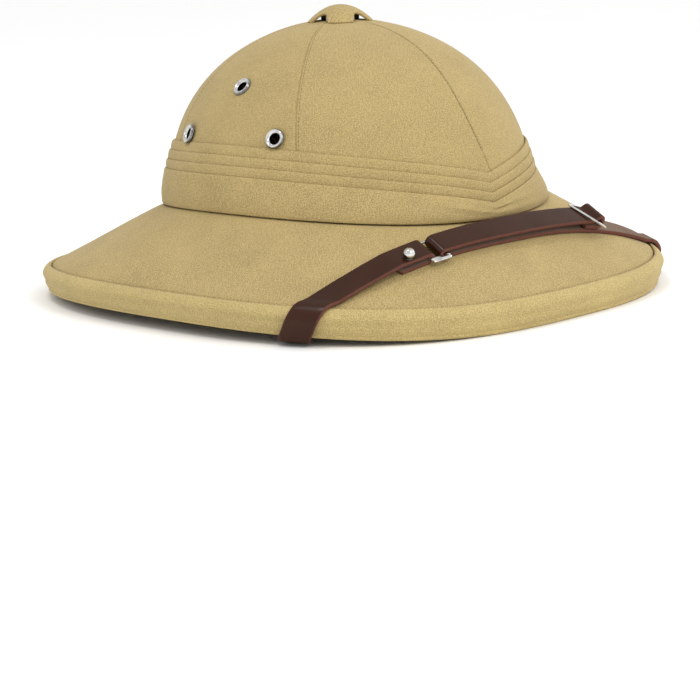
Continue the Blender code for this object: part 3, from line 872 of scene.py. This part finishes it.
def brim_station(degrees, height, face):
    """A section on the brim, turned towards the seam's own direction where it nears the rim."""
    place, along, sideways, out = strap_frame(degrees)
    crossing = RIGHT_CROSSING if degrees > 0 else LEFT_CROSSING
    nearness = max(0.0, abs(degrees) / crossing - 0.6) / 0.4
    angle = radians(degrees)
    edge = (seam(angle + 0.01) - seam(angle - 0.01)).normalized()
    sideways = sideways + along * nearness * edge.dot(along) / edge.dot(sideways)
    return station(place + out * height, sideways, out, face)


def run(first, last, steps, height_first, height_last, face=1):
    """Sections on the brim from one angle to another, at heights above the brim."""
    sections = []
    for i in range(steps + 1):
        part = i / steps
        height = height_first + (height_last - height_first) * part * part * (3 - 2 * part)
        sections.append(brim_station(first + (last - first) * part, height, face))
    return sections


def fold(bar, along, sideways, out, radius, start, stop, face=1):
    """Sections bent half round a bar, between angles counted from out towards along."""
    sections = []
    for i in range(17):
        turn = radians(start + (stop - start) * i / 16)
        normal = out * cos(turn) + along * sin(turn)
        sections.append(station(bar + normal * radius, sideways, normal, face))
    return sections


def rim_run(side, face):
    """Sections round the edge of the rim and under it, parallel to the rim."""
    crossing = RIGHT_CROSSING if side > 0 else LEFT_CROSSING
    route = (
        (0.6, 0.0036, 0.0012, 0.45, 0.89), (1.1, 0.0055, -0.0009, 0.72, 0.69),
        (1.9, 0.0072, -0.0046, 0.98, 0.20), (2.5, 0.0073, -0.0076, 0.98, -0.17),
        (3.2, 0.0063, -0.0115, 0.94, -0.34), (4.0, 0.0050, -0.0153, 0.90, -0.44),
        (4.6, 0.0032, -0.0180, 0.45, -0.89), (5.2, 0.0000, -0.0186, 0.0, -1.0),
        (6.2, -0.0038, -0.0181, -0.45, -0.89), (7.4, -0.0080, -0.0150, -0.63, -0.78),
    )
    sections = []
    skew = brim_station(side * (crossing - 0.8), 0.0, face)[1].length
    for turn, out, up, facing, rising in route:
        angle = side * radians(crossing + turn)
        middle = rim_point(angle, out, up)
        edge = rim_point(angle - side * 0.01, out, up) - rim_point(angle + side * 0.01, out, up)
        normal = (rim_outward(angle) * facing + Vector((0, 0, rising))).normalized()
        width = skew + (RIM_SKEW - skew) * min(1.0, turn / 4.6)
        sections.append(station(middle, edge.normalized() * width, normal, face))
    return sections


def hook_frame(side):
    """The hook's bar, and the strap's directions along, across and out where it folds there."""
    section = rim_run(side, 1)[-1]
    middle = section[0]
    bar = Vector((-side * HOOK_BAR[0], HOOK_BAR[1], HOOK_BAR[2]))
    along = (bar - middle).normalized()
    below = Vector((side * 0.45, 0, -1))
    out = (below - along * below.dot(along)).normalized()
    sideways = out.cross(along)
    if sideways.dot(section[1]) < 0:
        sideways = -sideways
    return bar, along, sideways, out


def hidden_run(side, face):
    """Under the brim from the rim to the hook, with the end folded round the hook's bar."""
    first = rim_run(side, 1)[-1]
    middle = first[0]
    first_sideways = first[1].normalized()
    first_out = first[2].normalized()
    bar, along, sideways, out = hook_frame(side)
    radius = HOOK_WIRE + GAP + STRAP_THICKNESS / 2
    goal = bar + out * radius
    sections = []
    for part in (0.12, 0.3, 0.5, 0.7, 0.9):
        turn = ease(part / 0.9)
        across = first_sideways.lerp(sideways, turn).normalized()
        facing = first_out.lerp(out, turn).normalized()
        sections.append(station(middle.lerp(goal, part), across, facing, face))
    sections += fold(bar, along, sideways, out, radius, 0, 180, face)
    for back in (0.006, 0.012):
        sections.append(station(bar - out * radius - along * back, sideways, -out, face))
    return sections


def ease(value):
    return value * value * (3 - 2 * value)


def bar_frame(degrees, height):
    """A bar across the strap at a height above the brim: its middle and the strap's directions."""
    place, along, sideways, out = strap_frame(degrees)
    return place + out * height, along, sideways, out


def short_strap():
    """From the right-hand hook round the rim and up the brim, then folded round the ring."""
    bar_angle = degrees_beside(RING_ANGLE, RING_BAR_SPACING / 2)
    bar, along, sideways, out = bar_frame(bar_angle, FOLD_HEIGHT)
    end_angle = degrees_beside(bar_angle, FOLD_RETURN)
    sections = run(end_angle, bar_angle + 0.3, 4, STRAP_HEIGHT, STRAP_HEIGHT, -1)
    sections += fold(bar, -along, sideways, out, FOLD_RADIUS, 180, 0)
    sections += run(bar_angle + 0.6, end_angle + 0.6, 4, UPPER_HEIGHT, UPPER_HEIGHT)
    for part in spread(0.08, 1, 12):
        height = UPPER_HEIGHT + (RIM_HEIGHT - UPPER_HEIGHT) * part
        sections.append(brim_station(end_angle + (RIGHT_CROSSING - 1.8 - end_angle) * part, height, 1))
    return sections + rim_run(1, 1) + hidden_run(1, 1)


def long_strap():
    """From its rolled end on the slider to the ring, back under itself and round the left rim."""
    ring_angle = degrees_beside(RING_ANGLE, -RING_BAR_SPACING / 2)
    bar, along, sideways, out = bar_frame(ring_angle, FOLD_HEIGHT)
    roll_angle = degrees_beside(SLIDER_ANGLE, -SLIDER_SPACING)
    roll_bar, roll_along, roll_sideways, roll_out = bar_frame(roll_angle, ROLL_HEIGHT)
    tuck = ROLL_HEIGHT - ROLL_RADIUS
    crest = ROLL_HEIGHT + ROLL_RADIUS
    pressed = SLIDER_BAR_HEIGHT - SLIDER_BAR_RADIUS - 2 * GAP - STRAP_THICKNESS / 2
    sections = run(roll_angle + 4.2, roll_angle + 0.3, 3, tuck, tuck, -1)
    sections += fold(roll_bar, -roll_along, roll_sideways, roll_out, ROLL_RADIUS, 180, 0)
    sections += run(roll_angle + 0.3, SLIDER_ANGLE, 4, crest, pressed)
    sections += run(SLIDER_ANGLE + 1, SLIDER_ANGLE + 14, 5, pressed, UPPER_HEIGHT)
    sections += run(SLIDER_ANGLE + 16, ring_angle - 0.4, 12, UPPER_HEIGHT, UPPER_HEIGHT)
    sections += fold(bar, along, sideways, out, FOLD_RADIUS, 0, 180)
    sections += run(ring_angle - 0.4, -LEFT_CROSSING + 1.8, 24, STRAP_HEIGHT, STRAP_HEIGHT, -1)
    return sections + rim_run(-1, -1) + hidden_run(-1, -1)


def smoothed(stations, steps):
    """Places between the strap's stations on a curve through them, spaced as they are."""
    route = []
    last = len(stations) - 1
    for i in range(last):
        before, here, there, beyond = (stations[min(max(i + k, 0), last)] for k in (-1, 0, 1, 2))
        gap = (there[0] - here[0]).length
        slope_in = slope_between(before[0], here[0], there[0], gap)
        slope_out = slope_between(here[0], there[0], beyond[0], gap)
        for step in range(steps):
            t = step / steps
            middle = (
                here[0] * (2 * t ** 3 - 3 * t ** 2 + 1) + slope_in * (t ** 3 - 2 * t ** 2 + t)
                + there[0] * (3 * t ** 2 - 2 * t ** 3) + slope_out * (t ** 3 - t ** 2)
            )
            route.append((middle, here[1].lerp(there[1], t), here[2].lerp(there[2], t).normalized()))
    return route + [stations[-1]]


def slope_between(before, here, beyond, gap):
    """A curve's direction at a point, from its neighbours' directions weighed by nearness."""
    behind, ahead = here - before, beyond - here
    if behind.length == 0 or ahead.length == 0:
        return (behind if ahead.length == 0 else ahead).normalized() * gap
    total = behind.length + ahead.length
    return (behind / behind.length * ahead.length + ahead / ahead.length * behind.length) * gap / total


def strap_outline():
    """Offsets across and through the strap, with each point's share of cut edge and flesh side."""
    half, thick, corner = STRAP_WIDTH / 2, STRAP_THICKNESS / 2, STRAP_CORNER
    top = [
        (-half, thick - corner * 1.1, 1.0, 0.0), (-half + corner * 0.2, thick - corner * 0.45, 0.7, 0.0),
        (-half + corner * 0.6, thick - corner * 0.1, 0.25, 0.0), (-half + corner * 1.5, thick, 0.0, 0.0),
        (-half * 0.5, thick, 0.0, 0.0), (0.0, thick, 0.0, 0.0),
    ]
    top += [(-across, rise, cut, flesh) for across, rise, cut, flesh in reversed(top[:-1])]
    low = [
        (half, -thick + corner * 0.8, 1.0, 0.0), (half - corner * 0.4, -thick, 0.8, 0.2),
        (half - corner * 1.4, -thick, 0.0, 1.0), (0.0, -thick, 0.0, 1.0),
    ]
    low += [(-across, rise, cut, flesh) for across, rise, cut, flesh in reversed(low[:-1])]
    return top + low


def build_strap_piece(name, node, stations, surface):
    """A flat strap with rounded edges, closed at both ends."""
    outline = strap_outline()
    outline.append(outline[0])
    route = smoothed(stations, 3)
    rows = []
    for middle, sideways, out in route:
        wear = ripple(middle, 160, 0.00012)
        rows.append([middle + sideways * (across + wear) + out * rise for across, rise, _, _ in outline])
    cut = [point[2] for point in outline]
    flesh = [point[3] for point in outline]
    piece = grid_piece(name, rows, row_lengths(rows), cut=cut, flesh=flesh)
    close_ends(piece)
    finish_piece(piece, "strap_leather", surface, node)


def close_ends(piece):
    """Fill a tube's open ends."""
    alone(piece)
    bpy.ops.object.mode_set(mode="EDIT")
    bpy.ops.mesh.select_all(action="DESELECT")
    bpy.ops.mesh.select_non_manifold()
    bpy.ops.mesh.fill_holes(sides=0)
    bpy.ops.mesh.select_all(action="SELECT")
    bpy.ops.mesh.normals_make_consistent(inside=False)
    bpy.ops.object.mode_set(mode="OBJECT")


def build_straps(surface):
    build_strap_piece("strap_short_leather", "strap_short", short_strap(), surface)
    build_strap_piece("strap_long_leather", "strap_long", long_strap(), surface)


# Metal ----------------------------------------------------------------------------------------

def turned_piece(name, outline, steps, place, out, **marks):
    """A profile of radius and height turned about an axis at a place."""
    turn = out.to_track_quat("Z", "Y").to_matrix()
    rows = []
    for step in range(steps + 1):
        angle = 2 * pi * step / steps
        row = [Vector((radius * cos(angle), radius * sin(angle), height)) for radius, height in outline]
        rows.append([place + turn @ point for point in row])
    return grid_piece(name, rows, row_lengths(rows), **marks)


def build_eyelets(bright):
    """A rolled flange with a bevelled edge, a broad dished ring and a barrel through the wall."""
    corners = (
        (0.0029, 0.0001), (0.0031, 0.0006), (0.0036, 0.0011), (0.0042, 0.00145), (0.0047, 0.00145),
        (0.0051, 0.0011), (0.0055, 0.0004), (0.0055, 0.0001), (0.0051, 0.0000), (0.0040, 0.0000),
        (0.0035, -0.0001), (0.0033, -0.0006), (0.0033, -0.0020), (0.0033, -0.0036), (0.0032, -0.0040),
        (0.0030, -0.0040), (0.0029, -0.0034), (0.0029, -0.0012),
    )
    outline = smooth_outline(corners, 3)
    # Painted shade: the outer bevel and the barrel inside the hole are marked dark in the nickel's colour.
    shade = [
        min(1.0, max(0.0, (radius - 0.0046) / 0.0006)) + (height < -0.0002)
        for radius, height in outline
    ]
    for node in EYELETS:
        place, out = eyelet_seat(node)
        piece = turned_piece(node + "_finished", outline, 48, place, out, tarnish=shade)
        finish_piece(piece, "nickel", bright, node)


def build_stud(bright):
    """A ball on a short neck and a small foot."""
    outline = [(0.0, -0.0003), (0.0024, -0.0003), (0.0026, -0.0001), (0.0025, 0.0002), (0.0017, 0.0004)]
    outline += [
        (STUD_RADIUS * cos(turn), STUD_HEIGHT + STUD_RADIUS * sin(turn))
        for turn in spread(radians(-52), pi / 2, 18)
    ]
    place, _, sideways, out = bar_frame(STUD_ANGLE, UPPER_HEIGHT + STRAP_THICKNESS / 2 + GAP)
    # Painted shade: the ball is marked darker towards its neck and foot.
    shade = [min(1.0, max(0.0, (STUD_HEIGHT - height) / 0.0012 + 0.7)) for _, height in outline]
    place += sideways * STUD_OFFSET
    piece = turned_piece("ball_stud_finished", outline, 40, place, out, tarnish=shade)
    finish_piece(piece, "nickel", bright, "ball_stud")


def build_collar(aged_painted_shade):
    """The vent's turned metal collar, made wider and taller than in the frame so that its dark nickel fills
    the cap's openings as painted shade.
    """
    low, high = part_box("vent_collar")
    place = Vector((0, (low.y + high.y) / 2 - CAP_SHIFT, low.z))
    radius, height = (high.x - low.x) / 2 + 0.0010, high.z - low.z + 0.0012
    corners = (
        (radius - 0.0018, 0.0003), (radius - 0.0016, height - 0.0010), (radius - 0.0008, height - 0.0002),
        (radius - 0.0002, height - 0.0003), (radius, height - 0.0008), (radius - 0.0004, height - 0.0012),
        (radius - 0.0011, height - 0.0016), (radius - 0.0012, 0.0004), (radius - 0.0015, 0.0),
    )
    piece = turned_piece("vent_collar_finished", smooth_outline(corners, 3), 64, place, Vector((0, 0, 1)))
    finish_piece(piece, "nickel", aged_painted_shade, "vent_collar")


def wire_piece(name, corners, bend, section, power=2.0):
    """A closed bent wire through corners, whose section is given as half width and half depth."""
    count = len(corners)
    normal = (corners[1] - corners[0]).cross(corners[2] - corners[1]).normalized()
    rows = []
    for i in range(count):
        corner, last, following = corners[i], corners[i - 1], corners[(i + 1) % count]
        before = (last - corner).normalized() * bend
        after = (following - corner).normalized() * bend
        for part in spread(0, 1, 11):
            point = corner + before * (1 - part) ** 2 + after * part ** 2
            along = (following - corner).normalized() * part - (last - corner).normalized() * (1 - part)
            side = normal.cross(along.normalized()).normalized()
            wide, deep = section(i + part)
            rows.append([
                point + side * wide * squared(cos(turn), power) + normal * deep * squared(sin(turn), power)
                for turn in spread(0, 2 * pi, 17)
            ])
    rows.append(rows[0])
    return grid_piece(name, rows, row_lengths(rows))


def build_ring(bright):
    """A flat ring whose two bars hold the folds, with broad plated ends beside the strap."""
    corners = []
    for offset in (0.5, -0.5):
        angle = degrees_beside(RING_ANGLE, RING_BAR_SPACING * offset)
        bar, along, sideways, _ = bar_frame(angle, FOLD_HEIGHT)
        near = bar + sideways * RING_NEAR - along * RING_SKEW
        far = bar - sideways * RING_FAR
        corners += [near, far] if offset > 0 else [far, near]

    def section(place):
        if (place - 0.5) % 2 <= 1.0:
            return RING_BAR_RADIUS, RING_BAR_RADIUS
        return (0.0007, 0.0006) if 1.5 < place < 2.5 else (0.0019, 0.0007)

    piece = wire_piece("strap_ring_finished", corners, 0.0013, section, 3.0)
    finish_piece(piece, "nickel", bright, "strap_ring")


def build_slider(bright):
    """A bent wire slider: one bar on the strap, the other inside its rolled end."""
    corners = []
    roll_angle = degrees_beside(SLIDER_ANGLE, -SLIDER_SPACING)
    for angle, height, order, skew in (
        (SLIDER_ANGLE, SLIDER_BAR_HEIGHT, (1, -1), SLIDER_SKEW), (roll_angle, ROLL_HEIGHT, (-1, 1), 0.0),
    ):
        bar, along, sideways, out = bar_frame(angle, height)
        for sign in order:
            far = sign < 0
            reach = SLIDER_REACH if far else SLIDER_LENGTH / 2
            lean = along * skew - out * 0.12 * skew if far else along * 0.15 * skew
            corners.append(bar + sideways * reach * sign + lean)
    radius = SLIDER_BAR_RADIUS
    piece = wire_piece("strap_slider_finished", corners, 0.0016, lambda place: (radius, radius))
    finish_piece(piece, "nickel", bright, "strap_slider")


def build_hooks(aged_painted_shade):
    """Plain three-cornered hooks inside the hat, under its ears."""
    for name, side in (("strap_hook_right", 1), ("strap_hook_left", -1)):
        bar, _, sideways, _ = hook_frame(side)
        tip = Vector((-side * HOOK_TIP[0], HOOK_TIP[1], HOOK_TIP[2]))
        corners = [bar - sideways * HOOK_HALF, bar + sideways * HOOK_HALF, tip]
        piece = wire_piece(name + "_finished", corners, 0.0022, lambda place: (HOOK_WIRE, HOOK_WIRE))
        finish_piece(piece, "nickel", aged_painted_shade, name)


# Stage ----------------------------------------------------------------------------------------

def build_stage(surface):
    bpy.ops.object.select_all(action="DESELECT")
    bpy.ops.mesh.primitive_plane_add(size=14)
    floor = bpy.context.object
    floor.name = "floor"
    floor.data.materials.append(surface)


def add_light(name, azimuth, elevation, distance, size, power, colour):
    lamp = bpy.data.lights.new(name, "AREA")
    lamp.shape = "DISK"
    lamp.size = size
    lamp.energy = power
    lamp.color = colour
    holder = bpy.data.objects.new(name, lamp)
    bpy.context.scene.collection.objects.link(holder)
    turn, rise = radians(azimuth), radians(elevation)
    direction = Vector((sin(turn) * cos(rise), -cos(turn) * cos(rise), sin(rise)))
    holder.location = direction * distance + Vector((0, 0, 0.06))
    holder.rotation_euler = direction.to_track_quat("Z", "Y").to_euler()


def build_lights():
    add_light("key", -5, 42, 1.9, 0.7, 6.5, (1.0, 0.99, 0.97))
    add_light("left", -110, 30, 1.9, 0.6, 1.0, (0.98, 0.99, 1.0))
    add_light("top", -80, 66, 1.6, 0.30, 5.0, (1.0, 1.0, 1.0))
    add_light("right", 55, 24, 1.8, 0.5, 2.0, (1.0, 0.99, 0.97))
    world = bpy.data.worlds.new("studio")
    world.use_nodes = True
    sky = Shade(world.node_tree)
    direction = sky.node("TexCoord", {}, {})
    across_view = {0: direction, 1: (0.70, -0.72, 0.0)}
    side = direction.node("VectorMath", {"operation": "DOT_PRODUCT"}, across_view, 1)
    background = world.node_tree.nodes["Background"]
    background.inputs["Color"].default_value = (1.0, 1.0, 1.0, 1)
    height = direction.node("SeparateXYZ", {}, {"Vector": direction}, 2)
    link(background, "Strength", side * 0.20 + 1.08 - height * 0.12)
    bpy.context.scene.world = world


def build_camera():
    azimuth, elevation = VIEW_AZIMUTH, VIEW_ELEVATION
    back = Vector((sin(azimuth) * cos(elevation), -cos(azimuth) * cos(elevation), sin(elevation)))
    right = Vector((cos(azimuth), sin(azimuth), 0))
    up = back.cross(right)
    camera = bpy.data.objects.new("camera", bpy.data.cameras.new("camera"))
    bpy.context.scene.collection.objects.link(camera)
    camera.data.lens = LENS
    camera.data.sensor_width = 36
    tilted_right = right * cos(VIEW_ROLL) + up * sin(VIEW_ROLL)
    tilted_up = up * cos(VIEW_ROLL) - right * sin(VIEW_ROLL)
    matrix = Matrix((tilted_right, tilted_up, back)).transposed().to_4x4()
    matrix.translation = back * VIEW_DISTANCE + right * VIEW_ASIDE + up * VIEW_ABOVE + VIEW_CENTRE
    camera.matrix_world = matrix
    bpy.context.scene.camera = camera
    bpy.context.scene.view_settings.view_transform = "Standard"


def main():
    build_camera()
    build_lights()
    build_stage(backdrop_material())
    khaki = cloth("khaki_drill", (0.492, 0.367, 0.145, 1), (0.270, 0.197, 0.076, 1), (0.54, 0.41, 0.25, 1))
    edge_colours = (0.560, 0.430, 0.170, 1), (0.320, 0.243, 0.093, 1), (0.60, 0.47, 0.28, 1)
    pale = cloth("khaki_drill_edge", *edge_colours)
    build_crown(khaki)
    thread = thread_material()
    build_topstitching(thread)
    build_rim_stitching(thread)
    build_band(khaki)
    build_brim(khaki)
    build_binding(pale)
    build_cap(khaki)
    build_straps(leather_material())
    bright = nickel_material("nickel_plate", (0.66, 0.65, 0.63, 1), (0.13, 0.125, 0.115, 1), 0.10)
    # Aged nickel, darker than the plate so that the collar inside the cap stands in as painted shade; the
    # hooks share it.
    aged_painted_shade = nickel_material("aged_nickel_painted_shade", (0.36, 0.34, 0.31, 1), (0.20, 0.18, 0.16, 1), 0.25)
    build_eyelets(bright)
    build_stud(bright)
    build_ring(bright)
    build_slider(bright)
    build_collar(aged_painted_shade)
    build_hooks(aged_painted_shade)


main()
